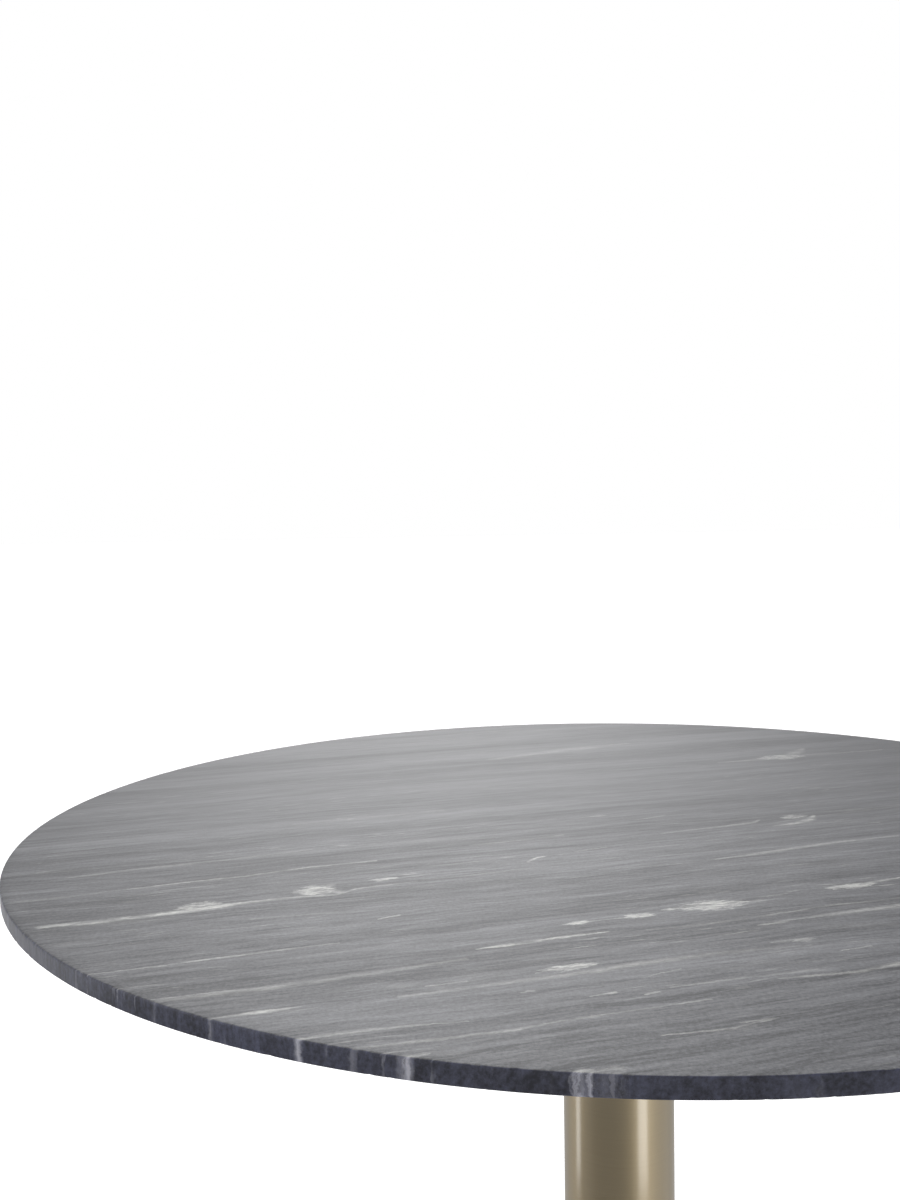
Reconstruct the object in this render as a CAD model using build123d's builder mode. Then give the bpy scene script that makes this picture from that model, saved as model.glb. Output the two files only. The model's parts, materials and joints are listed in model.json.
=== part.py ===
"""Round pedestal dining table: a thin honed-marble disc on one brushed-metal column and a round, weighted foot.

The stone is bonded to a plywood board, which is screwed to a steel plate.
One tie rod pulls the plate, the column tube and the cast base together.
Four screw-in levelling feet carry the table: each pad keeps its heading while its stud turns in the base.
Millimetres, +Z up. The origin is the middle of the foot, at floor level.
"""

import os

from build123d import *

# Overall size
TABLE_HEIGHT = 750.0
TOP_DIAMETER = 1200.0
COLUMN_DIAMETER = 114.3
BASE_DIAMETER = 700.0

# Stone top and the board bonded under it
TOP_THICKNESS = 15.0
TOP_EDGE_RADIUS = 1.5
ADHESIVE_THICKNESS = 1.0
ADHESIVE_PAD_DIAMETER = 40.0
ADHESIVE_RINGS = ((150.0, 6), (290.0, 12), (415.0, 18))  # ring radius, pads on it
BOARD_DIAMETER = 900.0
BOARD_THICKNESS = 15.0
BOARD_EDGE_CHAMFER = 9.0
BOARD_CENTRE_HOLE = 64.0

# Steel plate under the board, and the ring that centres the column on it
PLATE_DIAMETER = 420.0
PLATE_THICKNESS = 6.0
PLATE_EDGE_CHAMFER = 1.0
RING_HEIGHT = 20.0
RING_WALL = 6.0
RING_LEAD_IN = 1.5

# Plate fasteners: M6 screws and washers into threaded inserts
SCREW_COUNT = 8
SCREW_CIRCLE = 360.0
SCREW_RADIUS = 3.0
SCREW_PITCH = 1.0
SCREW_LENGTH = 20.0
SCREW_HEAD_RADIUS = 5.25
SCREW_HEAD_HEIGHT = 3.3
SCREW_SOCKET_FLATS = 4.0
SCREW_SOCKET_DEPTH = 2.0
SCREW_WASHER_RADIUS = 6.0
SCREW_WASHER_THICKNESS = 1.6
INSERT_RADIUS = 5.0
INSERT_LENGTH = 12.0
INSERT_HOLE_DEPTH = 13.0

# Column
COLUMN_WALL = 2.0
GASKET_THICKNESS = 1.0
GASKET_INSET = 0.15
LOCATING_GAP = 0.25

# Base: cast weight, foam tape rings, and a spun cover that hides both
FLOOR_GAP = 12.0
WEIGHT_DIAMETER = 692.0
WEIGHT_THICKNESS = 14.0
WEIGHT_EDGE_CHAMFER = 2.0
BOSS_RADIUS = 54.5
BOSS_HEIGHT = 22.0
BOSS_LEAD_IN = 2.0
TAPE_THICKNESS = 1.0
TAPE_WIDTH = 20.0
TAPE_RADII = (315.0, 205.0, 110.0)  # outermost first
COVER_WALL = 1.5
COVER_EDGE_RADIUS = 4.0
COVER_FLOOR_GAP = 9.5

# Tie rod, M16, with its nuts and washers
ROD_RADIUS = 8.0
ROD_PITCH = 2.0
ROD_HOLE_RADIUS = 8.5
ROD_END_CHAMFER = 1.5
ROD_LOWER_THREAD = 62.0
ROD_UPPER_THREAD = 42.0
NUT_FLATS = 24.0
NUT_HEIGHT = 13.0
THIN_NUT_HEIGHT = 8.0
WASHER_RADIUS = 15.0
WASHER_THICKNESS = 3.0
NUT_POCKET_RADIUS = 22.0
NUT_POCKET_DEPTH = 20.0
ROD_END_RECESS = 2.0
ROD_STAND_OUT = 2.0

# Levelling feet, M8
FOOT_COUNT = 4
FOOT_CIRCLE_RADIUS = 290.0
FOOT_FIRST_ANGLE = 45.0
FOOT_PAD_RADIUS = 17.0
FOOT_PAD_SHOULDER_RADIUS = 9.0
FOOT_PAD_HEIGHT = 9.0
FOOT_BALL_RADIUS = 3.5
FOOT_BALL_HEIGHT = 5.0
FOOT_NECK_RADIUS = 2.2
FOOT_MOUTH_RADIUS = 3.0
FOOT_COLLAR_FLATS = 14.0
FOOT_COLLAR_HEIGHT = 2.5
FOOT_STUD_RADIUS = 4.0
FOOT_STUD_PITCH = 1.25
FOOT_STUD_LENGTH = 13.5

RUNNING_GAP = 0.05
THREAD_DEPTH = 0.6  # in pitches
CORNER = 2 / 3**0.5  # a hexagon's corner radius over half its width across flats

# Heights, worked up from the floor and down from the table's surface
weight_bottom = FLOOR_GAP
weight_top = weight_bottom + WEIGHT_THICKNESS
boss_top = weight_top + BOSS_HEIGHT
cover_inside = weight_top + TAPE_THICKNESS
cover_top = cover_inside + COVER_WALL
column_bottom = cover_top + GASKET_THICKNESS
stone_bottom = TABLE_HEIGHT - TOP_THICKNESS
board_top = stone_bottom - ADHESIVE_THICKNESS
board_bottom = board_top - BOARD_THICKNESS
plate_bottom = board_bottom - PLATE_THICKNESS
pocket_top = weight_bottom + NUT_POCKET_DEPTH
lower_nut_bottom = pocket_top - WASHER_THICKNESS - NUT_HEIGHT
upper_nut_top = board_bottom + WASHER_THICKNESS + THIN_NUT_HEIGHT
rod_bottom = lower_nut_bottom - ROD_END_RECESS
rod_top = upper_nut_top + ROD_STAND_OUT

# Radii that follow from the tube
tube_outside = COLUMN_DIAMETER / 2
tube_inside = tube_outside - COLUMN_WALL
ring_outside = tube_inside - LOCATING_GAP

foot_places = [
    Location((location.position.X, location.position.Y, 0))
    for location in PolarLocations(FOOT_CIRCLE_RADIUS, FOOT_COUNT, FOOT_FIRST_ANGLE)
]


def upright(place=Location()):
    """The vertical plane through a place's own Z axis, for turned outlines."""
    return Plane(origin=place.position, x_dir=(1, 0, 0), z_dir=(0, -1, 0))


def turned(outline, place=Location()):
    """A solid turned about a place's vertical axis, from (radius, height) points."""
    with BuildPart() as piece:
        with BuildSketch(upright(place)):
            with BuildLine():
                Polyline(*outline, close=True)
            make_face()
        revolve(axis=Axis(place.position, (0, 0, 1)))
    return piece.part


def ring(inside, outside, bottom, top):
    """A flat ring about Z."""
    return turned([(inside, bottom), (outside, bottom), (outside, top), (inside, top)])


def thread(radius, pitch, low, high):
    """Outline points of a thread drawn as rings: crests at radius, roots between them."""
    turns = int((high - low) / pitch)
    root = radius - THREAD_DEPTH * pitch
    points = [(radius, low)]
    for turn in range(turns):
        points.append((root, low + (turn + 0.5) * pitch))
        points.append((radius, low + (turn + 1) * pitch))
    return points


def hex_nut(bottom, height):
    """An M16 nut on the tie rod, its corners turned off at both ends."""
    corner = NUT_FLATS / 2 * CORNER
    cut = corner - NUT_FLATS / 2
    with BuildPart() as nut:
        with BuildSketch(Plane.XY.offset(bottom)):
            RegularPolygon(NUT_FLATS / 2, 6, major_radius=False)
            Circle(ROD_RADIUS + RUNNING_GAP, mode=Mode.SUBTRACT)
        extrude(amount=height)
        with BuildSketch(upright()):
            with BuildLine():
                Polyline(
                    (0, bottom),
                    (corner - cut, bottom),
                    (corner, bottom + cut * 0.6),
                    (corner, bottom + height - cut * 0.6),
                    (corner - cut, bottom + height),
                    (0, bottom + height),
                    close=True,
                )
            make_face()
        revolve(axis=Axis.Z, mode=Mode.INTERSECT)
    return nut.part


def rod_washer(bottom):
    return ring(ROD_HOLE_RADIUS, WASHER_RADIUS, bottom, bottom + WASHER_THICKNESS)


def write(piece, name):
    """Labels one finished sub-part and writes its STEP file."""
    piece.label = name
    export_step(piece, f"parts/{name}.step")


os.makedirs("parts", exist_ok=True)

# --- Top -----------------------------------------------------------------------------

with BuildPart() as table_top:
    with BuildSketch(Plane.XY.offset(stone_bottom)):
        Circle(TOP_DIAMETER / 2)
    extrude(amount=TOP_THICKNESS)
    fillet(table_top.edges(), TOP_EDGE_RADIUS)

with BuildPart() as adhesive_pads:
    with BuildSketch(Plane.XY.offset(board_top)):
        for ring_radius, pad_count in ADHESIVE_RINGS:
            with PolarLocations(ring_radius, pad_count):
                Circle(ADHESIVE_PAD_DIAMETER / 2)
    extrude(amount=ADHESIVE_THICKNESS)

with BuildPart() as backing_board:
    with BuildSketch(Plane.XY.offset(board_bottom)):
        Circle(BOARD_DIAMETER / 2)
        Circle(BOARD_CENTRE_HOLE / 2, mode=Mode.SUBTRACT)
    extrude(amount=BOARD_THICKNESS)
    chamfer(backing_board.edges().group_by(Axis.Z)[0].sort_by(SortBy.LENGTH)[-1], BOARD_EDGE_CHAMFER)
    with BuildSketch(Plane.XY.offset(board_bottom)):
        with PolarLocations(SCREW_CIRCLE / 2, SCREW_COUNT):
            Circle(INSERT_RADIUS)
    extrude(amount=INSERT_HOLE_DEPTH, mode=Mode.SUBTRACT)

with BuildPart() as threaded_inserts:
    with BuildSketch(Plane.XY.offset(board_bottom)):
        with PolarLocations(SCREW_CIRCLE / 2, SCREW_COUNT):
            Circle(INSERT_RADIUS - RUNNING_GAP)
            Circle(SCREW_RADIUS + RUNNING_GAP, mode=Mode.SUBTRACT)
    extrude(amount=INSERT_LENGTH)

with BuildPart() as top_plate:
    with BuildSketch(Plane.XY.offset(plate_bottom)):
        Circle(PLATE_DIAMETER / 2)
        Circle(ROD_HOLE_RADIUS, mode=Mode.SUBTRACT)
        with PolarLocations(SCREW_CIRCLE / 2, SCREW_COUNT):
            Circle(SCREW_RADIUS * 1.1, mode=Mode.SUBTRACT)
    extrude(amount=PLATE_THICKNESS)
    chamfer(top_plate.edges().group_by(Axis.Z)[0].sort_by(SortBy.LENGTH)[-1], PLATE_EDGE_CHAMFER)

top_locating_ring = turned(
    [
        (ring_outside - RING_WALL, plate_bottom - RING_HEIGHT),
        (ring_outside - RING_LEAD_IN, plate_bottom - RING_HEIGHT),
        (ring_outside, plate_bottom - RING_HEIGHT + RING_LEAD_IN),
        (ring_outside, plate_bottom),
        (ring_outside - RING_WALL, plate_bottom),
    ]
)

# One screw and one washer about Z, then the circle of each
washer_bottom = plate_bottom - SCREW_WASHER_THICKNESS
head_bottom = washer_bottom - SCREW_HEAD_HEIGHT
screw_tip = washer_bottom + SCREW_LENGTH

with BuildPart() as one_screw:
    with BuildSketch(upright()):
        with BuildLine():
            Polyline(
                (0, head_bottom),
                (SCREW_HEAD_RADIUS * 0.6, head_bottom),
                (SCREW_HEAD_RADIUS * 0.87, head_bottom + SCREW_HEAD_HEIGHT * 0.3),
                (SCREW_HEAD_RADIUS, head_bottom + SCREW_HEAD_HEIGHT * 0.75),
                (SCREW_HEAD_RADIUS, washer_bottom),
                *thread(SCREW_RADIUS, SCREW_PITCH, washer_bottom, screw_tip - SCREW_PITCH),
                (SCREW_RADIUS - SCREW_PITCH * THREAD_DEPTH, screw_tip),
                (0, screw_tip),
                close=True,
            )
        make_face()
    revolve(axis=Axis.Z)
    with BuildSketch(Plane.XY.offset(head_bottom)):
        RegularPolygon(SCREW_SOCKET_FLATS / 2, 6, major_radius=False)
    extrude(amount=SCREW_SOCKET_DEPTH, mode=Mode.SUBTRACT)

with BuildPart() as plate_screws:
    with PolarLocations(SCREW_CIRCLE / 2, SCREW_COUNT):
        add(one_screw.part)

with BuildPart() as plate_washers:
    with BuildSketch(Plane.XY.offset(washer_bottom)):
        with PolarLocations(SCREW_CIRCLE / 2, SCREW_COUNT):
            Circle(SCREW_WASHER_RADIUS)
            Circle(SCREW_RADIUS * 1.07, mode=Mode.SUBTRACT)
    extrude(amount=SCREW_WASHER_THICKNESS)

# --- Column and tie rod --------------------------------------------------------------

column_tube = ring(tube_inside, tube_outside, column_bottom, plate_bottom)
column_gasket = ring(ring_outside, tube_outside - GASKET_INSET, cover_top, column_bottom)

tie_rod = turned(
    [
        (0, rod_bottom),
        (ROD_RADIUS - ROD_END_CHAMFER, rod_bottom),
        *thread(ROD_RADIUS, ROD_PITCH, rod_bottom + ROD_END_CHAMFER, rod_bottom + ROD_LOWER_THREAD),
        *thread(ROD_RADIUS, ROD_PITCH, rod_top - ROD_UPPER_THREAD, rod_top - ROD_END_CHAMFER),
        (ROD_RADIUS - ROD_END_CHAMFER, rod_top),
        (0, rod_top),
    ]
)

rod_bottom_nut = hex_nut(lower_nut_bottom, NUT_HEIGHT)
rod_bottom_washer = rod_washer(pocket_top - WASHER_THICKNESS)
boss_washer = rod_washer(boss_top)
boss_nut = hex_nut(boss_top + WASHER_THICKNESS, NUT_HEIGHT)
rod_top_washer = rod_washer(board_bottom)
rod_top_nut = hex_nut(board_bottom + WASHER_THICKNESS, THIN_NUT_HEIGHT)

# --- Base ----------------------------------------------------------------------------

with BuildPart() as base_weight:
    with BuildSketch(Plane.XY.offset(weight_bottom)):
        Circle(WEIGHT_DIAMETER / 2)
    extrude(amount=WEIGHT_THICKNESS)
    chamfer(base_weight.edges(), WEIGHT_EDGE_CHAMFER)
    with BuildSketch(Plane.XY.offset(weight_top)):
        Circle(BOSS_RADIUS)
    extrude(amount=BOSS_HEIGHT)
    chamfer(base_weight.edges().group_by(Axis.Z)[-1], BOSS_LEAD_IN)
    with BuildSketch(Plane.XY.offset(weight_bottom)):
        Circle(NUT_POCKET_RADIUS)
    extrude(amount=NUT_POCKET_DEPTH, mode=Mode.SUBTRACT)
    with BuildSketch(Plane.XY.offset(pocket_top)):
        Circle(ROD_HOLE_RADIUS)
    extrude(until=Until.LAST, mode=Mode.SUBTRACT)
    with BuildSketch(Plane.XY.offset(weight_bottom)):
        with Locations(*foot_places):
            Circle(FOOT_STUD_RADIUS + RUNNING_GAP)
    extrude(amount=WEIGHT_THICKNESS, mode=Mode.SUBTRACT)

with BuildPart() as cover_tape_rings:
    with BuildSketch(Plane.XY.offset(weight_top)):
        for tape_radius in TAPE_RADII:
            Circle(tape_radius + TAPE_WIDTH / 2)
            Circle(tape_radius - TAPE_WIDTH / 2, mode=Mode.SUBTRACT)
    extrude(amount=TAPE_THICKNESS)

# The cover's section: a flat disc that rolls over a small radius into a short skirt
cover_radius = BASE_DIAMETER / 2
inner_edge_radius = COVER_EDGE_RADIUS - COVER_WALL
with BuildPart() as base_cover:
    with BuildSketch(upright()):
        with BuildLine():
            Line((ring_outside, cover_top), (cover_radius - COVER_EDGE_RADIUS, cover_top))
            RadiusArc(
                (cover_radius - COVER_EDGE_RADIUS, cover_top),
                (cover_radius, cover_top - COVER_EDGE_RADIUS),
                COVER_EDGE_RADIUS,
            )
            Polyline(
                (cover_radius, cover_top - COVER_EDGE_RADIUS),
                (cover_radius, COVER_FLOOR_GAP),
                (cover_radius - COVER_WALL, COVER_FLOOR_GAP),
                (cover_radius - COVER_WALL, cover_inside - inner_edge_radius),
            )
            RadiusArc(
                (cover_radius - COVER_WALL, cover_inside - inner_edge_radius),
                (cover_radius - COVER_EDGE_RADIUS, cover_inside),
                -inner_edge_radius,
            )
            Polyline(
                (cover_radius - COVER_EDGE_RADIUS, cover_inside),
                (ring_outside, cover_inside),
                (ring_outside, cover_top),
            )
        make_face()
    revolve(axis=Axis.Z)

# --- Levelling feet ------------------------------------------------------------------

collar_bottom = weight_bottom - FOOT_COLLAR_HEIGHT
stud_top = weight_bottom + FOOT_STUD_LENGTH
socket_radius = FOOT_BALL_RADIUS + RUNNING_GAP
mouth_height = FOOT_BALL_HEIGHT + (socket_radius**2 - FOOT_MOUTH_RADIUS**2) ** 0.5
neck_start = FOOT_BALL_HEIGHT + (FOOT_BALL_RADIUS**2 - FOOT_NECK_RADIUS**2) ** 0.5

for number, place in enumerate(foot_places, start=1):
    axis = Axis(place.position, (0, 0, 1))

    with BuildPart() as foot_stud:
        with BuildSketch(upright(place)):
            with BuildLine():
                ThreePointArc(
                    (0, FOOT_BALL_HEIGHT - FOOT_BALL_RADIUS),
                    (FOOT_BALL_RADIUS, FOOT_BALL_HEIGHT),
                    (FOOT_NECK_RADIUS, neck_start),
                )
                Polyline(
                    (FOOT_NECK_RADIUS, neck_start),
                    (FOOT_NECK_RADIUS, collar_bottom),
                    (FOOT_COLLAR_FLATS * 0.45, collar_bottom),
                    (FOOT_COLLAR_FLATS * 0.45, weight_bottom),
                    *thread(FOOT_STUD_RADIUS, FOOT_STUD_PITCH, weight_bottom, stud_top - 1),
                    (FOOT_STUD_RADIUS - 1, stud_top),
                    (0, stud_top),
                    (0, FOOT_BALL_HEIGHT - FOOT_BALL_RADIUS),
                )
            make_face()
        revolve(axis=axis)
        with BuildSketch(Plane.XY.offset(collar_bottom)):
            with Locations(place):
                RegularPolygon(FOOT_COLLAR_FLATS / 2, 6, major_radius=False)
        extrude(amount=FOOT_COLLAR_HEIGHT)

    with BuildPart() as foot_pad:
        with BuildSketch(upright(place)):
            with BuildLine():
                ThreePointArc(
                    (0, FOOT_BALL_HEIGHT - socket_radius),
                    (socket_radius, FOOT_BALL_HEIGHT),
                    (FOOT_MOUTH_RADIUS, mouth_height),
                )
                Polyline(
                    (FOOT_MOUTH_RADIUS, mouth_height),
                    (FOOT_MOUTH_RADIUS, FOOT_PAD_HEIGHT),
                    (FOOT_PAD_SHOULDER_RADIUS * 0.8, FOOT_PAD_HEIGHT),
                    (FOOT_PAD_SHOULDER_RADIUS, FOOT_PAD_HEIGHT * 0.85),
                    (FOOT_PAD_RADIUS, FOOT_PAD_HEIGHT * 0.45),
                    (FOOT_PAD_RADIUS, 1),
                    (FOOT_PAD_RADIUS - 1, 0),
                    (0, 0),
                    (0, FOOT_BALL_HEIGHT - socket_radius),
                )
            make_face()
        revolve(axis=axis)

    write(foot_stud.part, f"levelling_foot_{number}_stud")
    write(foot_pad.part, f"levelling_foot_{number}_pad")

# --- Files ---------------------------------------------------------------------------

write(table_top.part, "table_top")
write(adhesive_pads.part, "adhesive_pads")
write(backing_board.part, "backing_board")
write(threaded_inserts.part, "threaded_inserts")
write(top_plate.part, "top_plate")
write(top_locating_ring, "top_locating_ring")
write(plate_screws.part, "plate_screws")
write(plate_washers.part, "plate_washers")
write(column_tube, "column_tube")
write(column_gasket, "column_gasket")
write(tie_rod, "tie_rod")
write(rod_bottom_nut, "rod_bottom_nut")
write(rod_bottom_washer, "rod_bottom_washer")
write(boss_washer, "boss_washer")
write(boss_nut, "boss_nut")
write(rod_top_washer, "rod_top_washer")
write(rod_top_nut, "rod_top_nut")
write(base_weight.part, "base_weight")
write(cover_tape_rings.part, "cover_tape_rings")
write(base_cover.part, "base_cover")
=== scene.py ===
"""Looks of a round pedestal table: a dark honed-marble disc on a champagne metal column and a round base.

The stone top, column and base cover are rebuilt as fine meshes in place of their plainer CAD solids.
Every other CAD node keeps its shape and gets a finish.
Metres, +Z up, the origin on the floor under the column.
"""

import json
import math

import bpy
from mathutils import Matrix, Vector, noise

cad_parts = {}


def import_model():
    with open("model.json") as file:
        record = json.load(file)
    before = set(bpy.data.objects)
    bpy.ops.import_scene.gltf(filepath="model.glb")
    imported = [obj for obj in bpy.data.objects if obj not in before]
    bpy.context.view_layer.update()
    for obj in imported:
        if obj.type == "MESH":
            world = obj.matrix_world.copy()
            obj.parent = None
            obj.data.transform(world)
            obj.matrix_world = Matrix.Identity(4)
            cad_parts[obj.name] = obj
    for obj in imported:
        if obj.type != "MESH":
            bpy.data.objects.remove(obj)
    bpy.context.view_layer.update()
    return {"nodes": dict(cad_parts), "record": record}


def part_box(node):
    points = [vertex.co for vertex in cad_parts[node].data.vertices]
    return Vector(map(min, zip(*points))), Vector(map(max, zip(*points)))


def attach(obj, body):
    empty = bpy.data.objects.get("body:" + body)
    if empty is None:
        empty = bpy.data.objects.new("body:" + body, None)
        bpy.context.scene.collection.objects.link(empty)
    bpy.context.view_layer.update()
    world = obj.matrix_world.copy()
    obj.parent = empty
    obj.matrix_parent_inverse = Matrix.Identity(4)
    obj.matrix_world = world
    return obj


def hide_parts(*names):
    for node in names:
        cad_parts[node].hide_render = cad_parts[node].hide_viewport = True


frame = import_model()

MM = 0.001

# Marble: its veins run at this angle from +X towards +Y, in upright sheets through the slab
VEIN_ANGLE = math.radians(16.5)

# Single veins: strength, then points (X, Y, half-width) in millimetres, from the slab's middle
VEINS = (
    (0.98, (-496, -311, 3.2), (-455, -300, 4.8), (-402, -281, 4.6), (-372, -270, 6.5), (-346, -257, 3.6)),
    (0.72, (-346, -257, 3.0), (-300, -242, 2.4), (-268, -238, 1.8), (-252, -222, 1.8), (-200, -202, 1.4)),
    (0.30, (-200, -202, 1.2), (-165, -190, 1.2), (-80, -160, 0.6)),
    (0.55, (-274, -208, 3.6), (-282, -222, 5.0), (-264, -231, 4.0)),
    (0.26, (-540, -244, 2.5), (-500, -232, 2.5), (-450, -211, 2.2)),
    (0.50, (-450, -211, 1.8), (-400, -192, 2.4), (-352, -176, 2.2), (-300, -152, 2.2), (-240, -134, 1.4)),
    (0.30, (-546, -153, 3.0), (-512, -139, 1.0)),
    (0.26, (-520, -176, 2.0), (-440, -142, 4.0), (-376, -120, 2.6), (-304, -90, 1.5)),
    (0.78, (-428, -419, 0.8), (-385, -405, 1.1), (-344, -390, 2.0), (-304, -376, 2.0), (-255, -360, 0.8)),
    (0.34, (-368, -470, 3.0), (-300, -452, 5.0), (-240, -430, 4.6), (-160, -400, 2.0)),
    (0.55, (-372, -468, 0.8), (-330, -456, 0.9), (-285, -446, 0.6)),
    (0.92, (-326, -503, 1.6), (-310, -498, 2.0), (-295, -493, 3.4), (-270, -485, 1.0)),
    (0.60, (-270, -539, 1.6), (-252, -533, 2.6), (-236, -528, 3.0), (-200, -520, 1.6), (-160, -514, 0.8)),
    (0.42, (-236, -555, 1.4), (-200, -546, 2.0), (-140, -532, 2.2), (-100, -516, 1.6), (0, -484, 1.2)),
    (0.75, (-202, -568, 3.4), (-184, -562, 0.8)),
    (0.40, (-400, -446, 0.8), (-370, -440, 0.8)),
    (0.92, (-152, -379, 0.9), (-120, -369, 3.6), (-100, -361, 2.2), (-82, -354, 3.0), (-50, -345, 0.8)),
    (0.32, (-205, -470, 2.0), (-120, -444, 3.4), (-68, -428, 4.4)),
    (0.40, (-68, -428, 4.0), (-40, -417, 4.8), (0, -404, 4.4), (50, -391, 3.2), (95, -383, 1.0)),
    (0.55, (-112, -431, 0.6), (-92, -421, 1.2)),
    (0.42, (-63, -320, 0.6), (-32, -312, 0.6), (-10, -303, 0.5)),
    (0.80, (-100, -146, 1.6), (-90, -132, 1.8), (-82, -128, 0.6)),
    (0.32, (-53, -113, 1.6), (-22, -100, 1.2)),
    (0.22, (0, -111, 1.6), (46, -96, 1.8)),
    (0.20, (-38, -176, 1.2), (37, -161, 1.4), (72, -149, 1.4)),
    (0.38, (72, -149, 2.2), (128, -126, 4.0), (172, -107, 3.0), (198, -96, 3.4), (262, -76, 2.4)),
    (0.34, (37, -52, 1.5), (100, -30, 2.4), (137, -15, 3.0), (146, -4, 1.2)),
    (0.70, (154, -31, 1.6), (180, -20, 3.4), (197, -6, 5.0), (205, 9, 2.4)),
    (0.20, (20, 4, 1.2), (52, 21, 2.6)),
    (0.65, (180, -233, 3.4), (193, -226, 2.4), (217, -216, 1.8), (240, -212, 1.0)),
    (0.30, (-20, -343, 1.4), (15, -335, 2.0), (67, -317, 1.8), (128, -293, 1.8), (200, -273, 2.6)),
    (0.62, (66, -336, 1.0), (84, -330, 2.6), (100, -322, 1.0)),
    (0.44, (96, -324, 1.0), (128, -313, 4.0), (195, -292, 4.6), (260, -275, 3.0)),
    (0.42, (132, -290, 1.4), (150, -285, 1.6)),
    (0.55, (113, -396, 0.8), (137, -387, 1.2)),
    (0.46, (54, -449, 1.2), (111, -439, 2.6), (146, -424, 4.0), (200, -405, 3.0)),
    (0.30, (-22, -462, 1.4), (24, -448, 1.8), (85, -433, 1.4)),
    (0.50, (-41, -541, 1.0), (2, -533, 1.4), (37, -517, 0.8)),
    (0.55, (11, -524, 1.2), (34, -518, 1.6)),
    (0.60, (-188, -452, 1.0), (-160, -444, 1.2)),
    (0.75, (-124, -467, 1.0), (-116, -464, 1.6)),
    (0.75, (-78, -476, 0.8), (-60, -469, 1.4)),
    (0.75, (-42, -474, 0.8), (-32, -470, 1.4)),
    (0.45, (-38, -443, 0.6), (-24, -434, 0.8), (-10, -428, 0.8)),
    (0.60, (-228, -305, 1.0), (-212, -296, 1.6)),
    (0.20, (-330, -300, 2.0), (-250, -282, 1.2)),
    (0.22, (-150, -86, 3.0), (-60, -52, 2.0)),
    (0.16, (-330, 12, 5.0), (-180, 62, 4.0)),
    (0.20, (-120, 334, 5.0), (-10, 396, 12.0), (70, 430, 4.0)),
    (0.26, (165, 290, 2.0), (225, 308, 5.0), (305, 334, 5.0), (390, 356, 2.0)),
    (0.30, (258, 322, 6.0), (276, 348, 9.0), (292, 372, 3.0)),
)

# Calcite eyes, in millimetres: centre, half-length, half-width, strength
EYES = (
    ((-286, -225), 22, 19, 0.90),
    ((-376, -264), 24, 15, 0.80),
    ((-229, -194), 16, 6, 0.75),
    ((-87, -420), 26, 8, 0.92),
    ((-69, -322), 16, 5, 0.90),
    ((-22, -308), 17, 8, 0.95),
    ((41, -284), 36, 18, 0.88),
    ((6, -293), 12, 3, 0.70),
    ((79, -275), 12, 4, 0.40),
    ((168, -238), 30, 9, 0.90),
    ((184, 6), 19, 9, 0.60),
    ((-15, 25), 12, 6, 0.26),
    ((248, 318), 44, 18, 0.56),
    ((92, -371), 12, 5, 0.55),
    ((77, -373), 14, 3, 0.35),
    ((-95, -592), 10, 8, 0.55),
    ((-78, -590), 14, 10, 0.30),
)

# The stone's faces: name, darkest and lightest ground, veins' white, roughness, and bump height in metres
STONE_FACES = (
    ("marble_honed", (0.010, 0.0105, 0.015), (0.144, 0.147, 0.160), (0.46, 0.46, 0.44), 0.45, 0.00004),
    # The edge's ground and white are darker and bluer than the top's: painted shade and a painted cool
    # light on the side
    ("marble_edge_painted_shade", (0.010, 0.0105, 0.020), (0.064, 0.069, 0.114), (0.50, 0.50, 0.56), 0.5, 0.00008),
    ("marble_sawn", (0.05, 0.051, 0.056), (0.15, 0.152, 0.16), (0.5, 0.5, 0.49), 0.8, 0.0002),
)
HONED, EDGE, SAWN = range(3)

# Sizes of the rebuilt pieces, in metres, and how many steps each is turned in
ARRIS = 1.5 * MM
STONE_STEPS, COLUMN_STEPS, BASE_STEPS = 2160, 288, 720
COLUMN_WALL, COLUMN_BEVEL = 2 * MM, 0.3 * MM
COVER_HOLE, COVER_WALL, COVER_ROLL, COVER_BEVEL = 54.9 * MM, 1.5 * MM, 4 * MM, 0.2 * MM
SHARP_FROM = math.radians(35)

FLOOR_COLOUR = (0.9, 0.9, 0.9)
FLOOR_REACH = 40.0
# Its own light, which keeps the floor white where the table shades it
FLOOR_LIFT = 0.5

# A ring of card that only reflections see stands round the base, with an apron that runs in over the floor.
# Azimuth 0 is in front, at -Y, and 90 is to the right. Each stop is an azimuth in degrees and a brightness
RING_STEPS = 120
RING_RADIUS, APRON_RADIUS = 0.78, 0.40
RING_FOOT = 4 * MM
RING_LOW, RING_HIGH = 0.58, 0.70
RING_HIGH_FROM, RING_HIGH_TO = -62, 37
RING_STOPS = (
    (-180, 0.48),
    (-114, 0.45),
    (-106, 0.36),
    (-66, 0.36),
    (-58, 0.28),
    (18, 0.28),
    (26, 0.50),
    (46, 0.60),
    (106, 0.62),
    (116, 0.50),
    (180, 0.48),
)

# Strip lights for the column alone, just inside the ring: from and to an azimuth, and radiance
STRIPS = (
    (-103, -92, 2.3),
    (31, 51, 2.6),
)
STRIP_RADIUS = RING_RADIUS - 0.02
STRIP_HEIGHT = 0.56
STRIP_FOOT = 0.01

SOFTBOX_SIZE, SOFTBOX_HEIGHT, SOFTBOX_WATTS = 2.0, 3.0, 34

# The camera, from the middle of the stone's surface, and how far it looks down and leans, in degrees
CAMERA_PLACE = (-0.167, -1.325, 0.3285)
CAMERA_DOWN, CAMERA_LEAN = 4.22, -0.993
CAMERA_LENS = 39.31


# --- Small helpers -------------------------------------------------------------------


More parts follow.
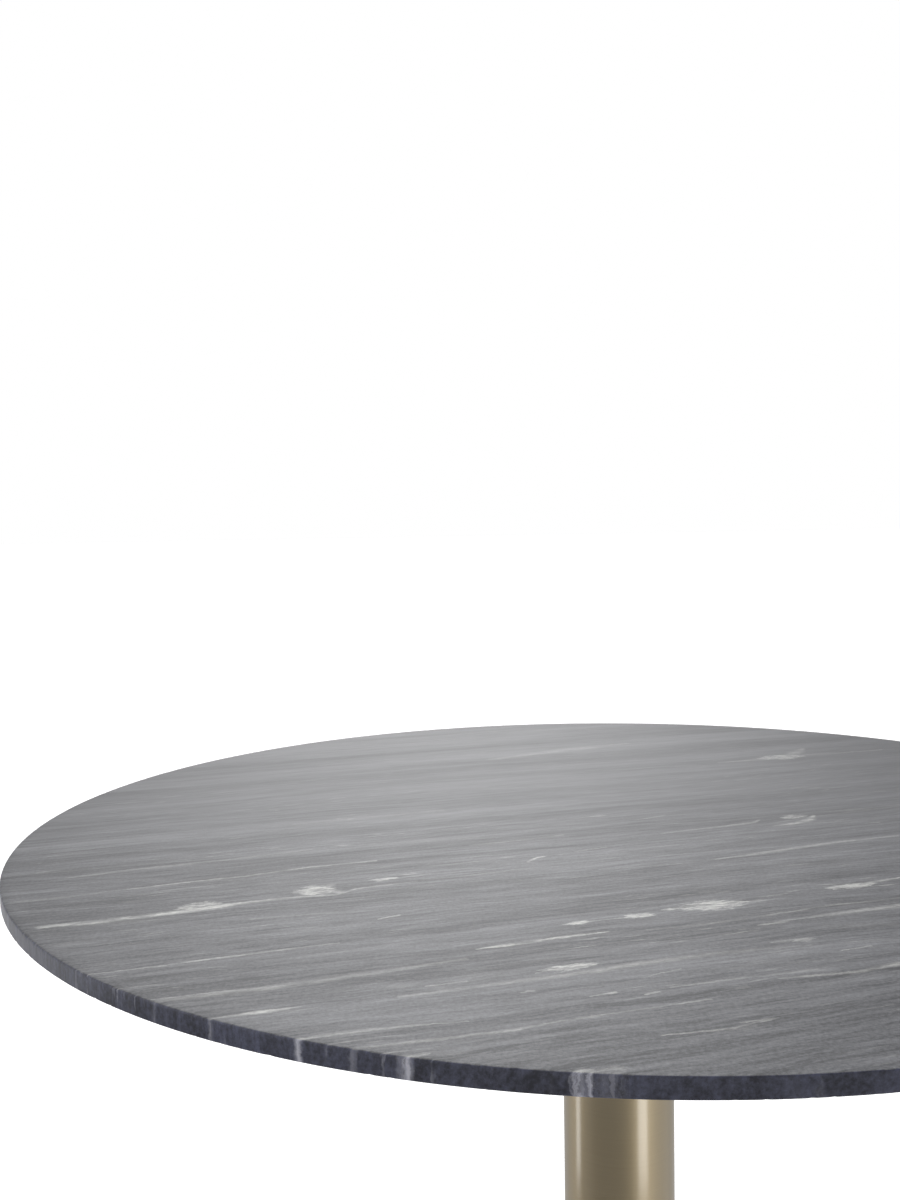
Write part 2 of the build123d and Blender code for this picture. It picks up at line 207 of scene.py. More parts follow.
class Shader:
    """A node tree, with short ways to add nodes to it."""

    def __init__(self, tree):
        self.tree = tree

    def add(self, kind, values=None, **settings):
        """A new node, with its properties set and its inputs filled with values or links."""
        node = self.tree.nodes.new(kind)
        for name, value in settings.items():
            setattr(node, name, value)
        for socket, value in (values or {}).items():
            self.fill(node.inputs[socket], value)
        return node

    def fill(self, socket, value):
        if isinstance(value, bpy.types.NodeSocket):
            self.tree.links.new(value, socket)
        else:
            socket.default_value = value

    def math(self, operation, *values):
        return self.add("ShaderNodeMath", dict(enumerate(values)), operation=operation).outputs[0]

    def vector(self, operation, *values, out=0):
        node = self.add("ShaderNodeVectorMath", operation=operation)
        sockets = [s for s in node.inputs if s.name != "Scale"]
        if operation == "SCALE":
            sockets = [node.inputs[0], node.inputs["Scale"]]
        for socket, value in zip(sockets, values):
            self.fill(socket, value)
        return node.outputs[out]

    def noise(self, vector, scale=1.0, detail=2.0, rough=0.5, out="Fac"):
        node = self.add(
            "ShaderNodeTexNoise",
            {"Vector": vector, "Scale": scale, "Detail": detail, "Roughness": rough},
        )
        return node.outputs[out]

    def stretched(self, vector, along, across, up, shift=0.0):
        """The vector scaled by three frequencies per metre, and moved so that each use differs."""
        scaled = self.vector("MULTIPLY", vector, (along, across, up))
        return self.vector("ADD", scaled, (shift, shift * 1.7, shift * 0.6))

    def smooth(self, value, low, high, first=0.0, last=1.0):
        """First below low, last above high, and a smooth step between. The step needs no clamp."""
        node = self.add(
            "ShaderNodeMapRange",
            {"Value": value, "From Min": low, "From Max": high, "To Min": first, "To Max": last},
            interpolation_type="SMOOTHSTEP",
            clamp=False,
        )
        return node.outputs["Result"]

    def spread(self, value, low, high, first=0.0, last=1.0):
        """The same as smooth, but straight between low and high."""
        node = self.add(
            "ShaderNodeMapRange",
            {"Value": value, "From Min": low, "From Max": high, "To Min": first, "To Max": last},
        )
        return node.outputs["Result"]

    def group(self, tree, *values):
        """The first output of a node group, with its inputs filled in order."""
        node = self.add("ShaderNodeGroup", node_tree=tree)
        for socket, value in zip(node.inputs, values):
            self.fill(socket, value)
        return node.outputs[0]

    def along_veins(self, vector):
        """The vector turned so that X runs along the veins."""
        values = {"Vector": vector, "Angle": -VEIN_ANGLE}
        return self.add("ShaderNodeVectorRotate", values, rotation_type="Z_AXIS").outputs[0]

    def mix(self, factor, first, second):
        """A colour between two others. 6, 7 and 2 are the node's colour sockets."""
        values = {0: factor, 6: first, 7: second}
        return self.add("ShaderNodeMix", values, data_type="RGBA").outputs[2]

    def bump(self, height, distance, strength=1.0):
        values = {"Height": height, "Distance": distance, "Strength": strength}
        return self.add("ShaderNodeBump", values).outputs[0]


def rgb(red, green, blue):
    return (red, green, blue, 1.0)


def new_material(name):
    """A material with an empty Principled surface: (material, shader, principled node)."""
    material = bpy.data.materials.new(name)
    material.use_nodes = True
    shader = Shader(material.node_tree)
    return material, shader, material.node_tree.nodes["Principled BSDF"]


def place(shader):
    """Where a point is on the object at rest, in metres."""
    return shader.add("ShaderNodeTexCoord").outputs["Object"]


def put(name, data):
    """A new object in the scene."""
    made = bpy.data.objects.new(name, data)
    bpy.context.scene.collection.objects.link(made)
    return made


def turned(name, outline, segments):
    """A piece turned about Z from (radius, height) points. A radius of 0 is a pole."""
    points, faces, rows = [], [], []
    for radius, height in outline:
        start = len(points)
        if radius == 0:
            points.append((0, 0, height))
            rows.append([start] * segments)
            continue
        for step in range(segments):
            angle = math.tau * step / segments
            points.append((radius * math.cos(angle), radius * math.sin(angle), height))
        rows.append(range(start, start + segments))
    for row, below in zip(rows, rows[1:]):
        for step in range(segments):
            after = (step + 1) % segments
            corners = (row[step], below[step], below[after], row[after])
            faces.append(tuple(dict.fromkeys(corners)))
    mesh = bpy.data.meshes.new(name)
    mesh.from_pydata(points, [], faces)
    mesh.validate()
    mesh.shade_smooth()
    mesh.set_sharp_from_angle(angle=SHARP_FROM)
    return put(name, mesh)


def arc(centre, radius, first, last, steps):
    """Outline points round a centre, from one angle in degrees to another."""
    points = []
    for step in range(steps + 1):
        angle = math.radians(first + (last - first) * step / steps)
        across, up = radius * math.cos(angle), radius * math.sin(angle)
        points.append((centre[0] + across, centre[1] + up))
    return points


def reach(node):
    """How far a round CAD node reaches from the Z axis, so that a new piece stays within it."""
    low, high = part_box(node)
    return min(-low.x, high.x, -low.y, high.y)


def stand_in(piece, node, body, slot, *materials):
    """The piece is shown in place of the CAD node, with these materials."""
    for material in materials:
        piece.data.materials.append(material)
    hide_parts(node)
    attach(piece, body)


# --- Marble --------------------------------------------------------------------------


def vein_group():
    """How much of a point lies in one straight stretch of a vein, whose width changes evenly."""
    tree = bpy.data.node_groups.new("vein", "ShaderNodeTree")
    for name in ("Point", "Start", "Run"):
        tree.interface.new_socket(name, in_out="INPUT", socket_type="NodeSocketVector")
    for name in ("First width", "Widening", "Strength"):
        tree.interface.new_socket(name, in_out="INPUT", socket_type="NodeSocketFloat")
    tree.interface.new_socket("Amount", in_out="OUTPUT", socket_type="NodeSocketFloat")
    shader = Shader(tree)
    given = shader.add("NodeGroupInput").outputs
    away = shader.vector("SUBTRACT", given["Point"], given["Start"])
    length = shader.vector("DOT_PRODUCT", given["Run"], given["Run"], out=1)
    ahead = shader.vector("DOT_PRODUCT", away, given["Run"], out=1)
    # MINIMUM and MAXIMUM, since many clamped nodes at once overflow the shader's stack
    along = shader.math("MINIMUM", shader.math("DIVIDE", ahead, length), 1.0)
    along = shader.math("MAXIMUM", along, 0.0)
    nearest = shader.vector("SCALE", given["Run"], along)
    distance = shader.vector("LENGTH", shader.vector("SUBTRACT", away, nearest), out=1)
    width = shader.math("MULTIPLY_ADD", along, given["Widening"], given["First width"])
    inside = shader.smooth(shader.math("DIVIDE", distance, width), 0.0, 1.6, 1.0, 0.0)
    out = shader.add("NodeGroupOutput")
    shader.fill(out.inputs[0], shader.math("MULTIPLY", inside, given["Strength"]))
    return tree


def eye_group():
    """How much of a point lies in one calcite eye: a lens drawn out along the veins to two tips."""
    tree = bpy.data.node_groups.new("eye", "ShaderNodeTree")
    for name in ("Point", "Centre", "Shrink"):
        tree.interface.new_socket(name, in_out="INPUT", socket_type="NodeSocketVector")
    for name in ("Breaks", "Strength"):
        tree.interface.new_socket(name, in_out="INPUT", socket_type="NodeSocketFloat")
    tree.interface.new_socket("Amount", in_out="OUTPUT", socket_type="NodeSocketFloat")
    shader = Shader(tree)
    given = shader.add("NodeGroupInput").outputs
    away = shader.vector("SUBTRACT", given["Point"], given["Centre"])
    shrunk = shader.vector("MULTIPLY", away, given["Shrink"])
    parts = shader.add("ShaderNodeSeparateXYZ", {0: shrunk}).outputs
    arch = shader.math("SUBTRACT", 1.0, shader.math("ABSOLUTE", parts[0]))
    arch = shader.math("MULTIPLY", arch, shader.math("SUBTRACT", 2.0, arch))
    depth = shader.math("SUBTRACT", arch, shader.math("ABSOLUTE", parts[1]))
    depth = shader.math("ADD", depth, given["Breaks"])
    inside = shader.smooth(depth, 0.0, 0.55)
    out = shader.add("NodeGroupOutput")
    shader.fill(out.inputs[0], shader.math("MULTIPLY", inside, given["Strength"]))
    return tree


def marble_group():
    """The stone's pattern. Tone is the ground's lightness, Pale is white calcite, both 0 to 1."""
    tree = bpy.data.node_groups.new("marble", "ShaderNodeTree")
    tree.interface.new_socket("Point", in_out="INPUT", socket_type="NodeSocketVector")
    for name in ("Tone", "Pale", "Grain"):
        tree.interface.new_socket(name, in_out="OUTPUT", socket_type="NodeSocketFloat")
    shader = Shader(tree)
    point = shader.add("NodeGroupInput").outputs["Point"]

    # Three sizes of wander in plan, in metres. It varies with height too, so veins lean through the slab
    slow = shader.vector("SUBTRACT", shader.noise(point, 1.7, 2, 0.5, "Color"), (0.5, 0.5, 0.5))
    slow = shader.vector("MULTIPLY", slow, (0.03, 0.06, 0.0))
    quick = shader.vector("SUBTRACT", shader.noise(point, 13, 3, 0.6, "Color"), (0.5, 0.5, 0.5))
    quick = shader.vector("MULTIPLY", quick, (0.004, 0.009, 0.0))
    ragged = shader.vector("SUBTRACT", shader.noise(point, 120, 3, 0.7, "Color"), (0.5, 0.5, 0.5))
    ragged = shader.vector("MULTIPLY", ragged, (0.005, 0.0045, 0.0))
    bent = shader.vector("ADD", shader.vector("ADD", point, slow), quick)
    bent = shader.vector("ADD", bent, shader.vector("MULTIPLY", ragged, (0.4, 0.3, 0.0)))
    lay = shader.along_veins(bent)

    # Ground: broad bands, middling streaks, fine threads, and a sugary grain. All but the bands fade
    # towards the far side
    bands = shader.noise(shader.stretched(lay, 0.9, 17, 1.5), 1, 3, 0.55)
    streaks = shader.noise(shader.stretched(lay, 4.5, 85, 9, 3.1), 1, 4, 0.65)
    threads = shader.noise(shader.stretched(lay, 26, 330, 60, 7.7), 1, 3, 0.7)
    grain = shader.noise(point, 300, 3, 0.8)
    behind = shader.add("ShaderNodeSeparateXYZ", {0: point}).outputs[1]
    front = shader.smooth(behind, -0.25, 0.25, 1, 0.42)

    tone = shader.spread(bands, 0.3, 0.7, 0.18, 0.50)
    fine = shader.spread(threads, 0.25, 0.75, -0.26, 0.34)
    fine = shader.math("ADD", fine, shader.spread(grain, 0.2, 0.8, -0.46, 0.46))
    fine = shader.math("ADD", fine, shader.spread(streaks, 0.25, 0.75, -0.30, 0.30))
    tone = shader.math("ADD", tone, shader.math("MULTIPLY", fine, front))

    def lines(along, across, shift, half_width, gaps_from, gaps_to):
        """White lines where a stretched noise passes its middle, broken up by a second noise."""
        field = shader.noise(shader.stretched(lay, along, across, 1.0, shift), 1, 1, 0.4)
        off = shader.math("ABSOLUTE", shader.math("SUBTRACT", field, 0.5))
        line = shader.smooth(off, 0.0, half_width, 1.0, 0.0)
        broken = shader.stretched(lay, along * 3.5, across * 0.8, 2, shift + 5)
        breaks = shader.noise(broken, 1, 3, 0.6)
        return shader.math("MULTIPLY", line, shader.smooth(breaks, gaps_from, gaps_to))

    long_lines = lines(1.1, 14, 11.3, 0.014, 0.44, 0.68)
    short_lines = lines(2.4, 40, 23.9, 0.030, 0.50, 0.72)

    # Short dashes, thick on the ground in some patches and absent in others
    dashes = shader.noise(shader.stretched(lay, 34, 360, 30, 41.2), 1, 2, 0.55)
    patch = shader.noise(shader.stretched(lay, 3.4, 16, 2, 2.4), 1, 3, 0.6)
    dashes = shader.smooth(dashes, 0.58, 0.74)
    dashes = shader.math("MULTIPLY", dashes, shader.smooth(patch, 0.45, 0.64))

    pale = shader.math("MULTIPLY", long_lines, 0.20)
    pale = shader.math("MAXIMUM", pale, shader.math("MULTIPLY", short_lines, 0.20))
    pale = shader.math("MAXIMUM", pale, shader.math("MULTIPLY", dashes, 0.55))
    pale = shader.math("MULTIPLY", pale, front)

    # The single veins and eyes. Only their edges wander, and a fine noise mottles them
    local = shader.vector("MULTIPLY", shader.vector("ADD", point, ragged), (1, 1, 0))
    along = shader.along_veins(local)
    mottle = shader.noise(shader.stretched(along, 150, 480, 0, 1.3), 1, 3, 0.7)
    mottle = shader.spread(mottle, 0.34, 0.6, 0.35, 1.0)
    gaps = shader.noise(shader.stretched(along, 32, 140, 0, 5.7), 1, 2, 0.5)
    gaps = shader.spread(gaps, 0.36, 0.6, 0.3, 1.0)
    vein, eye = vein_group(), eye_group()
    for strength, *stops in VEINS:
        for (x, y, width), (next_x, next_y, next_width) in zip(stops, stops[1:]):
            start, run = Vector((x, y, 0)) * MM, Vector((next_x - x, next_y - y, 0)) * MM
            widening = (next_width - width) * MM
            amount = shader.group(vein, local, start, run, width * MM, widening, strength)
            pale = shader.math("MAXIMUM", pale, amount)
    pale = shader.math("MULTIPLY", pale, gaps)

    web = shader.noise(shader.stretched(along, 48, 260, 0, 3.3), 1, 3, 0.65)
    web = shader.spread(web, 0.40, 0.56, 0.3, 1.0)
    breaks = shader.noise(shader.stretched(along, 110, 420, 0, 9.1), 1, 3, 0.7)
    breaks = shader.spread(breaks, 0.3, 0.7, -0.42, 0.32)
    unturn = Matrix.Rotation(-VEIN_ANGLE, 3, "Z")
    for centre, half_length, half_width, strength in EYES:
        middle = unturn @ Vector((*centre, 0)) * MM
        shrink = (1 / (half_length * MM), 1 / (half_width * MM), 0)
        amount = shader.group(eye, along, middle, shrink, breaks, strength)
        pale = shader.math("MAXIMUM", pale, shader.math("MULTIPLY", amount, web))
    pale = shader.math("MULTIPLY", pale, mottle)

    out = shader.add("NodeGroupOutput")
    shader.fill(out.inputs["Tone"], tone)
    shader.fill(out.inputs["Pale"], pale)
    shader.fill(out.inputs["Grain"], grain)
    return tree


def marble(group, name, dark, light, white, roughness, relief):
    """One face of the stone: the shared pattern between two ground colours and a white."""
    material, shader, surface = new_material(name)
    pattern = shader.add("ShaderNodeGroup", node_tree=group)
    shader.fill(pattern.inputs[0], place(shader))
    tone, pale, grain = pattern.outputs[:3]
    ground = shader.mix(tone, rgb(*dark), rgb(*light))
    shader.fill(surface.inputs["Base Color"], shader.mix(pale, ground, rgb(*white)))
    shine = shader.spread(grain, 0.3, 0.7, roughness - 0.05, roughness + 0.05)
    shine = shader.math("MULTIPLY_ADD", tone, -0.08, shine)
    shine = shader.math("MULTIPLY_ADD", pale, -0.08, shine)
    shader.fill(surface.inputs["Roughness"], shine)
    shader.fill(surface.inputs["Normal"], shader.bump(grain, relief))
    return material


def stone_top():
    """The slab. Its arrises are eased, and slightly uneven and chipped as cut stone is."""
    low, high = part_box("table_top")
    rim = reach("table_top")
    inner = (0.15, 0.3, 0.45, 0.56, 0.59)
    top = [(0, high.z)] + [(radius, high.z) for radius in inner]
    upper = arc((rim - ARRIS, high.z - ARRIS), ARRIS, 90, 0, 5)
    straight = high.z - low.z - 2 * ARRIS
    side = [(rim, low.z + ARRIS + straight * share) for share in (0.86, 0.7, 0.5, 0.3, 0.14)]
    lower = arc((rim - ARRIS, low.z + ARRIS), ARRIS, 0, -90, 5)
    bottom = [(radius, low.z) for radius in reversed(inner)] + [(0, low.z)]
    piece = turned("stone_top", top + upper + side + lower + bottom, STONE_STEPS)

    middle = (low.z + high.z) / 2
    for vertex in piece.data.vertices:
        radius = math.hypot(vertex.co.x, vertex.co.y)
        if radius < rim - 1.01 * ARRIS:
            continue
        # An arris wavers slowly, and loses a chip where the quick noise is high
        away = high.z - vertex.co.z if vertex.co.z >= middle else vertex.co.z - low.z
        nearness = max(0.0, 1 - away / (2.2 * ARRIS))
        slow = 0.5 + 0.5 * noise.noise(vertex.co * 22)
        chip = max(0.0, noise.noise(vertex.co * 170) - 0.28)
        inward = nearness * (0.22 * slow + 2.2 * chip) * MM
        vertex.co.x *= 1 - inward / radius
        vertex.co.y *= 1 - inward / radius

    group = marble_group()
    stand_in(piece, "table_top", "table", "stone", *(marble(group, *face) for face in STONE_FACES))
    for face in piece.data.polygons:
        if abs(face.normal.z) < 0.75:
            face.material_index = EDGE
        else:
            face.material_index = HONED if face.normal.z > 0 else SAWN


# --- Metals --------------------------------------------------------------------------


def champagne(name, spun):
    """Satin champagne metal under a thin clear lacquer. Brush lines run round the column or the disc."""
    material, shader, surface = new_material(name)
    point = place(shader)
    parts = shader.add("ShaderNodeSeparateXYZ", {0: point}).outputs
    radius = shader.vector("LENGTH", shader.vector("MULTIPLY", point, (1, 1, 0)), out=1)
    across = radius if spun else parts[2]
    # Lines about 0.3 mm apart that fade in and out along their length
    lined = shader.add("ShaderNodeCombineXYZ", {0: across}).outputs[0]
    lined = shader.vector("MULTIPLY", lined, (3200, 0, 0))
    lined = shader.vector("ADD", lined, shader.vector("SCALE", point, 9.0))
    lines = shader.noise(lined, 1, 2, 0.6)
    cloud = shader.noise(point, 7, 3, 0.5)
    base = shader.mix(shader.spread(lines, 0.3, 0.7), rgb(0.37, 0.29, 0.165), rgb(0.42, 0.335, 0.195))
    base = shader.mix(shader.spread(cloud, 0.35, 0.65, 0, 0.35), base, rgb(0.40, 0.33, 0.21))
    shader.fill(surface.inputs["Base Color"], base)
    surface.inputs["Metallic"].default_value = 1.0
    rough = shader.spread(lines, 0.25, 0.75, 0.44, 0.54)
    rough = shader.math("ADD", rough, shader.spread(cloud, 0.3, 0.7, -0.015, 0.015))
    shader.fill(surface.inputs["Roughness"], rough)
    surface.inputs["Coat Weight"].default_value = 1.0
    surface.inputs["Coat IOR"].default_value = 1.9
    surface.inputs["Coat Roughness"].default_value = 0.18
    shader.fill(surface.inputs["Normal"], shader.bump(lines, 0.000004))
    return material


def column():
    """The tube, open at both ends, with a small turned edge at each."""
    low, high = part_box("column_tube")
    outside = reach("column_tube")
    inside = outside - COLUMN_WALL
    straight = high.z - low.z - 2 * COLUMN_BEVEL
    heights = [low.z + COLUMN_BEVEL + straight * step / 8 for step in range(9)]
    outline = [(outside, height) for height in reversed(heights)]
    outline += [(outside - COLUMN_BEVEL, low.z), (inside + COLUMN_BEVEL, low.z)]
    outline += [(inside, height) for height in heights]
    outline += [(inside + COLUMN_BEVEL, high.z), (outside - COLUMN_BEVEL, high.z), (outside, heights[-1])]
    piece = turned("column_sleeve", outline, COLUMN_STEPS)
    finish = champagne("champagne_column", spun=False)
    stand_in(piece, "column_tube", "table", "champagne_metal", finish)


def base_disc():
    """The cover: a flat disc that rolls over into a skirt, a single wall thick."""
    low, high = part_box("base_cover")
    rim = reach("base_cover")
    inside = high.z - COVER_WALL
    turn = (rim - COVER_ROLL, high.z - COVER_ROLL)
    flat = (COVER_HOLE, 0.09, 0.15, 0.21, 0.27, 0.32)
    outline = [(radius, high.z) for radius in flat]
    outline += arc(turn, COVER_ROLL, 90, 0, 10)
    outline += [(rim, low.z + COVER_BEVEL), (rim - COVER_BEVEL, low.z), (rim - COVER_WALL, low.z)]
    outline += arc(turn, COVER_ROLL - COVER_WALL, 0, 90, 6)
    outline += [(radius, inside) for radius in reversed(flat)]
    outline += [(COVER_HOLE, high.z)]
    piece = turned("base_disc", outline, BASE_STEPS)
    finish = champagne("champagne_base", spun=True)
    stand_in(piece, "base_cover", "table", "champagne_metal", finish)


def zinc():
    """Bright zinc plate: pale, faintly blue, and clouded."""
    material, shader, surface = new_material("zinc_plate")
    point = place(shader)
    cloud = shader.noise(point, 260, 4, 0.6)
    fine = shader.noise(point, 2400, 2, 0.5)
    base = shader.mix(shader.spread(cloud, 0.3, 0.7), rgb(0.50, 0.52, 0.54), rgb(0.66, 0.67, 0.67))
    shader.fill(surface.inputs["Base Color"], base)
    surface.inputs["Metallic"].default_value = 1.0
    shader.fill(surface.inputs["Roughness"], shader.spread(cloud, 0.3, 0.7, 0.24, 0.4))
    shader.fill(surface.inputs["Normal"], shader.bump(fine, 0.00001))
    return material


def brass():
    """Turned brass with tool marks round it, dulled in places."""
    material, shader, surface = new_material("brass_turned")
    point = place(shader)
    marks = shader.noise(shader.vector("MULTIPLY", point, (40, 40, 5200)), 1, 2, 0.5)
    dull = shader.noise(point, 300, 3, 0.6)
    base = shader.mix(shader.spread(dull, 0.35, 0.7), rgb(0.72, 0.52, 0.22), rgb(0.45, 0.31, 0.14))
    shader.fill(surface.inputs["Base Color"], base)
    surface.inputs["Metallic"].default_value = 1.0
    shader.fill(surface.inputs["Roughness"], shader.spread(dull, 0.3, 0.7, 0.22, 0.45))
    shader.fill(surface.inputs["Normal"], shader.bump(marks, 0.00002))
    return material


def powder_coat():
    """Black powder coat: a fine pebbled skin with a low sheen."""
    material, shader, surface = new_material("powder_coat_black")
    point = place(shader)
    pebbles = shader.add("ShaderNodeTexVoronoi", {"Vector": point, "Scale": 900.0}).outputs["Distance"]
    cloud = shader.noise(point, 18, 3, 0.5)
    base = shader.mix(shader.spread(cloud, 0.3, 0.7), rgb(0.012, 0.012, 0.013), rgb(0.022, 0.022, 0.024))
    shader.fill(surface.inputs["Base Color"], base)
    shader.fill(surface.inputs["Roughness"], shader.spread(pebbles, 0.0, 0.7, 0.42, 0.6))
    shader.fill(surface.inputs["Normal"], shader.bump(pebbles, 0.00015, 0.6))
    return material


def cast_iron():
    """A cast surface under thin matt black paint: coarse, and rust-brown where the paint has worn."""
    material, shader, surface = new_material("cast_iron_painted")
    point = place(shader)
    sand = shader.noise(point, 480, 4, 0.65)
    worn = shader.smooth(shader.noise(point, 60, 4, 0.6), 0.62, 0.72)
    black = shader.mix(shader.spread(sand, 0.3, 0.7), rgb(0.010, 0.010, 0.011), rgb(0.03, 0.03, 0.031))
    shader.fill(surface.inputs["Base Color"], shader.mix(worn, black, rgb(0.05, 0.03, 0.02)))
    shader.fill(surface.inputs["Roughness"], shader.spread(sand, 0.3, 0.7, 0.62, 0.85))
    shader.fill(surface.inputs["Normal"], shader.bump(sand, 0.0004, 0.7))
    return material


# --- Wood, rubber and plastic --------------------------------------------------------


def plywood():
    """Plywood stained black: its plies show on the bevelled edge, and the grain on its faces."""
    material, shader, surface = new_material("plywood_black")
    point = place(shader)
    height = shader.add("ShaderNodeSeparateXYZ", {0: point}).outputs[2]
    thickness = 3.0 * MM
    ply = shader.math("FRACT", shader.math("MULTIPLY", height, 1 / thickness))
    seam = shader.smooth(shader.math("ABSOLUTE", shader.math("SUBTRACT", ply, 0.5)), 0.3, 0.46)
    grain = shader.noise(shader.vector("MULTIPLY", point, (14, 380, 120)), 1, 4, 0.6)
    tint = shader.mix(shader.spread(grain, 0.3, 0.7), rgb(0.014, 0.013, 0.012), rgb(0.040, 0.036, 0.032))
    shader.fill(surface.inputs["Base Color"], shader.mix(seam, tint, rgb(0.009, 0.008, 0.008)))
    shader.fill(surface.inputs["Roughness"], shader.spread(grain, 0.3, 0.7, 0.55, 0.75))
    shader.fill(surface.inputs["Normal"], shader.bump(grain, 0.00015, 0.6))
    return material


def soft(name, dark, light, roughness, scale, relief, clear=0.0):
    """Rubber, foam, silicone or moulded plastic: a mottled skin with a fine texture."""
    material, shader, surface = new_material(name)
    point = place(shader)
    skin = shader.noise(point, scale, 3, 0.6)
    cloud = shader.noise(point, 35, 3, 0.5)
    tint = shader.mix(shader.spread(cloud, 0.3, 0.7), rgb(*dark), rgb(*light))
    shader.fill(surface.inputs["Base Color"], tint)
    rough = shader.spread(skin, 0.3, 0.7, roughness - 0.07, roughness + 0.07)
    shader.fill(surface.inputs["Roughness"], rough)
    surface.inputs["Subsurface Weight"].default_value = clear
    shader.fill(surface.inputs["Normal"], shader.bump(skin, relief, 0.7))
    return material


def finish_cad_nodes():
    """Each CAD node that is still shown takes the finish of its material slot."""
    black, grey = (0.010, 0.010, 0.010), (0.02, 0.02, 0.021)
    plastic = (0.016, 0.016, 0.017), (0.024, 0.024, 0.025)
    cured = (0.42, 0.42, 0.40), (0.52, 0.52, 0.50)
    finishes = {
        "zinc": zinc(),
        "brass_insert": brass(),
        "black_steel": powder_coat(),
        "cast_weight": cast_iron(),
        "board": plywood(),
        "rubber": soft("rubber_black", black, (0.018, 0.018, 0.018), 0.7, 900, 0.00005),
        "foam_tape": soft("foam_tape_grey", grey, (0.035, 0.035, 0.036), 0.9, 1800, 0.0002),
        "silicone": soft("silicone_grey", *cured, 0.35, 240, 0.0002, clear=0.15),
        "glide_plastic": soft("glide_plastic_black", *plastic, 0.45, 1400, 0.00004),
    }
    for part in frame["record"]["subparts"]:
        finish = finishes.get(part["material_slot"])
        if finish is not None:
            node = frame["nodes"][part["node"]]
            node.data.materials.clear()
            node.data.materials.append(finish)


# --- Stage, light and camera ---------------------------------------------------------


def floor():
    """A plain pale floor that runs out of sight."""
    mesh = bpy.data.meshes.new("stage_floor")
    far = FLOOR_REACH
    corners = [(-far, -far, 0), (far, -far, 0), (far, far, 0), (-far, far, 0)]
    mesh.from_pydata(corners, [], [(0, 1, 2, 3)])
    piece = put("stage_floor", mesh)
    material, shader, surface = new_material("stage_floor_pale")
    surface.inputs["Base Color"].default_value = rgb(*FLOOR_COLOUR)
    surface.inputs["Roughness"].default_value = 0.9
    surface.inputs["Emission Color"].default_value = rgb(1, 1, 1)
    surface.inputs["Emission Strength"].default_value = FLOOR_LIFT
    mesh.materials.append(material)


def world():
    """White where the camera sees it. Its light comes mostly from behind and from the left."""
    made = bpy.data.worlds.new("studio")
    made.use_nodes = True
    bpy.context.scene.world = made
    tree = made.node_tree
    tree.nodes.clear()
    shader = Shader(tree)
    direction = shader.add("ShaderNodeTexCoord").outputs["Generated"]
    right, back, up = shader.add("ShaderNodeSeparateXYZ", {0: direction}).outputs
    amount = shader.smooth(up, 0.2, 0.9, 0.0, 0.40)
    amount = shader.math("ADD", amount, shader.smooth(back, -0.8, 0.2, 0.26, 0.50))
    # The brightest patch is low down behind the table, and fades to both sides
    aside = shader.smooth(shader.math("ABSOLUTE", right), 0.0, 0.44, 1.0, 0.0)
    patch = shader.math("MULTIPLY", aside, shader.smooth(back, 0.3, 0.85, 0, 1.6))
    amount = shader.math("ADD", amount, patch)
    amount = shader.math("ADD", amount, shader.smooth(right, -0.9, -0.45, 0.75, 0.0))
    # Dimmer at the right, but for its lowest and highest parts
    dim = shader.math("MULTIPLY", shader.smooth(up, 0.18, 0.36), shader.smooth(up, 0.5, 0.75, 1.0, 0.0))
    dim = shader.math("MULTIPLY", dim, shader.smooth(right, 0.0, 0.45, 0.0, -0.65))
    amount = shader.math("MULTIPLY_ADD", amount, dim, amount)
    lit = shader.add("ShaderNodeBackground", {"Color": rgb(1, 1, 1), "Strength": amount}).outputs[0]
    white = shader.add("ShaderNodeBackground", {"Color": rgb(1, 1, 1), "Strength": 1.0}).outputs[0]
    seen = shader.add("ShaderNodeLightPath").outputs["Is Camera Ray"]
    both = shader.add("ShaderNodeMixShader", {0: seen, 1: lit, 2: white}).outputs[0]
    shader.add("ShaderNodeOutputWorld", {"Surface": both})


def around(azimuth, radius, height):
    """A point at an azimuth in degrees round the column."""
    angle = math.radians(azimuth)
    return Vector((radius * math.sin(angle), -radius * math.cos(angle), height))


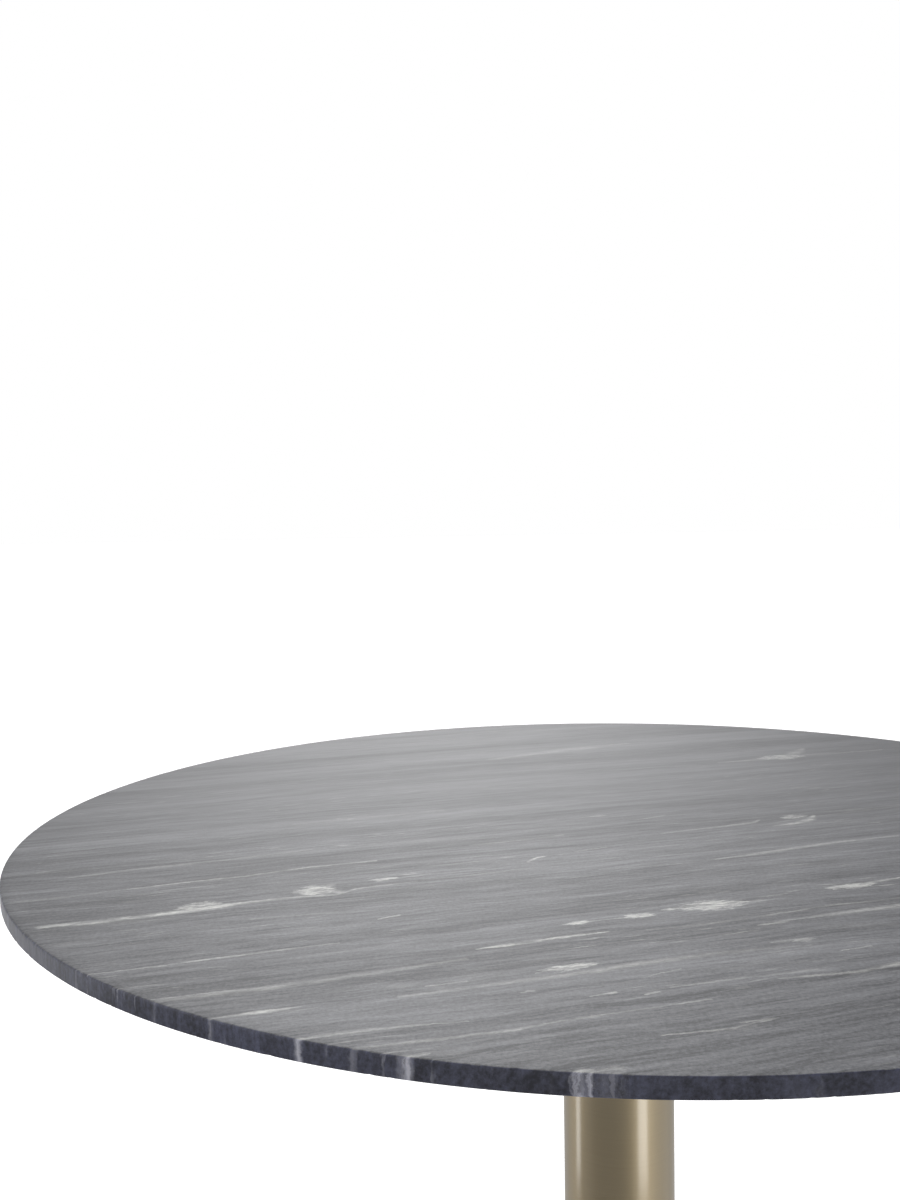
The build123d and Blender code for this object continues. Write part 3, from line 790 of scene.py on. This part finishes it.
def ring():
    """The ring of card, with its apron."""
    points, faces = [], []
    for step in range(RING_STEPS):
        azimuth = 360 * step / RING_STEPS - 180
        top = RING_HIGH if RING_HIGH_FROM < azimuth < RING_HIGH_TO else RING_LOW
        points.append(around(azimuth, RING_RADIUS, top))
        points.append(around(azimuth, RING_RADIUS, RING_FOOT))
        points.append(around(azimuth, APRON_RADIUS, RING_FOOT))
    for step in range(RING_STEPS):
        for row in (0, 1):
            here, there = 3 * step + row, 3 * ((step + 1) % RING_STEPS) + row
            faces.append((here, there, there + 1, here + 1))
    mesh = bpy.data.meshes.new("stage_ring")
    mesh.from_pydata(points, [], faces)
    piece = put("stage_ring", mesh)

    material, shader, surface = new_material("stage_ring_card")
    parts = shader.add("ShaderNodeSeparateXYZ", {0: place(shader)}).outputs
    turn = shader.math("ARCTAN2", parts[0], shader.math("MULTIPLY", parts[1], -1.0))
    turn = shader.math("MULTIPLY_ADD", turn, 0.5 / math.pi, 0.5)
    ramp = shader.add("ShaderNodeValToRGB", {0: turn})
    stops = ramp.color_ramp.elements
    while len(stops) < len(RING_STOPS):
        stops.new(0.5)
    for stop, (azimuth, brightness) in zip(stops, RING_STOPS):
        stop.position = (azimuth + 180) / 360
        stop.color = rgb(brightness, brightness, brightness)
    surface.inputs["Base Color"].default_value = rgb(0, 0, 0)
    surface.inputs["Specular IOR Level"].default_value = 0.0
    shader.fill(surface.inputs["Emission Color"], ramp.outputs[0])
    surface.inputs["Emission Strength"].default_value = 1.0
    mesh.materials.append(material)
    for ray in ("camera", "diffuse", "transmission", "volume_scatter", "shadow"):
        setattr(piece, f"visible_{ray}", False)


def hang(light, spot, aim):
    """Puts a light at a spot, pointing at another. The camera doesn't see it."""
    holder = put(light.name, light)
    holder.location = spot
    holder.rotation_mode = "QUATERNION"
    holder.rotation_quaternion = (Vector(aim) - Vector(spot)).to_track_quat("-Z", "Y")
    holder.visible_camera = False
    return holder


def column_strips():
    """Upright strip lights that light only the column."""
    lit = bpy.data.collections.new("column_only")
    lit.objects.link(bpy.data.objects["column_sleeve"])
    for first, last, radiance in STRIPS:
        light = bpy.data.lights.new(f"strip_{first % 360}", "AREA")
        light.shape = "RECTANGLE"
        light.size = 2 * RING_RADIUS * math.tan(math.radians(last - first) / 2)
        light.size_y = STRIP_HEIGHT
        light.energy = radiance * math.pi * light.size * light.size_y
        spot = around((first + last) / 2, STRIP_RADIUS, STRIP_HEIGHT / 2 + STRIP_FOOT)
        hang(light, spot, (0, 0, spot.z)).light_linking.receiver_collection = lit


def softbox_above():
    """A soft light over the table."""
    light = bpy.data.lights.new("softbox_above", "AREA")
    light.size = SOFTBOX_SIZE
    light.energy = SOFTBOX_WATTS
    hang(light, (0, 0, SOFTBOX_HEIGHT), (0, 0, 0))


def camera():
    """In front and to the left of the table, a little above it, looking along +Y and slightly down."""
    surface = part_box("table_top")[1].z
    data = bpy.data.cameras.new("camera")
    data.sensor_width = 36.0
    data.lens = CAMERA_LENS
    data.clip_start, data.clip_end = 0.01, 200
    holder = put("camera", data)
    right, back, up = CAMERA_PLACE
    spot = Matrix.Translation((right, back, surface + up))
    down = Matrix.Rotation(math.pi / 2 - math.radians(CAMERA_DOWN), 4, "X")
    holder.matrix_world = spot @ down @ Matrix.Rotation(math.radians(CAMERA_LEAN), 4, "Z")
    bpy.context.scene.camera = holder


stone_top()
column()
base_disc()
finish_cad_nodes()
floor()
world()
ring()
column_strips()
softbox_above()
camera()
bpy.context.scene.view_settings.view_transform = "Standard"
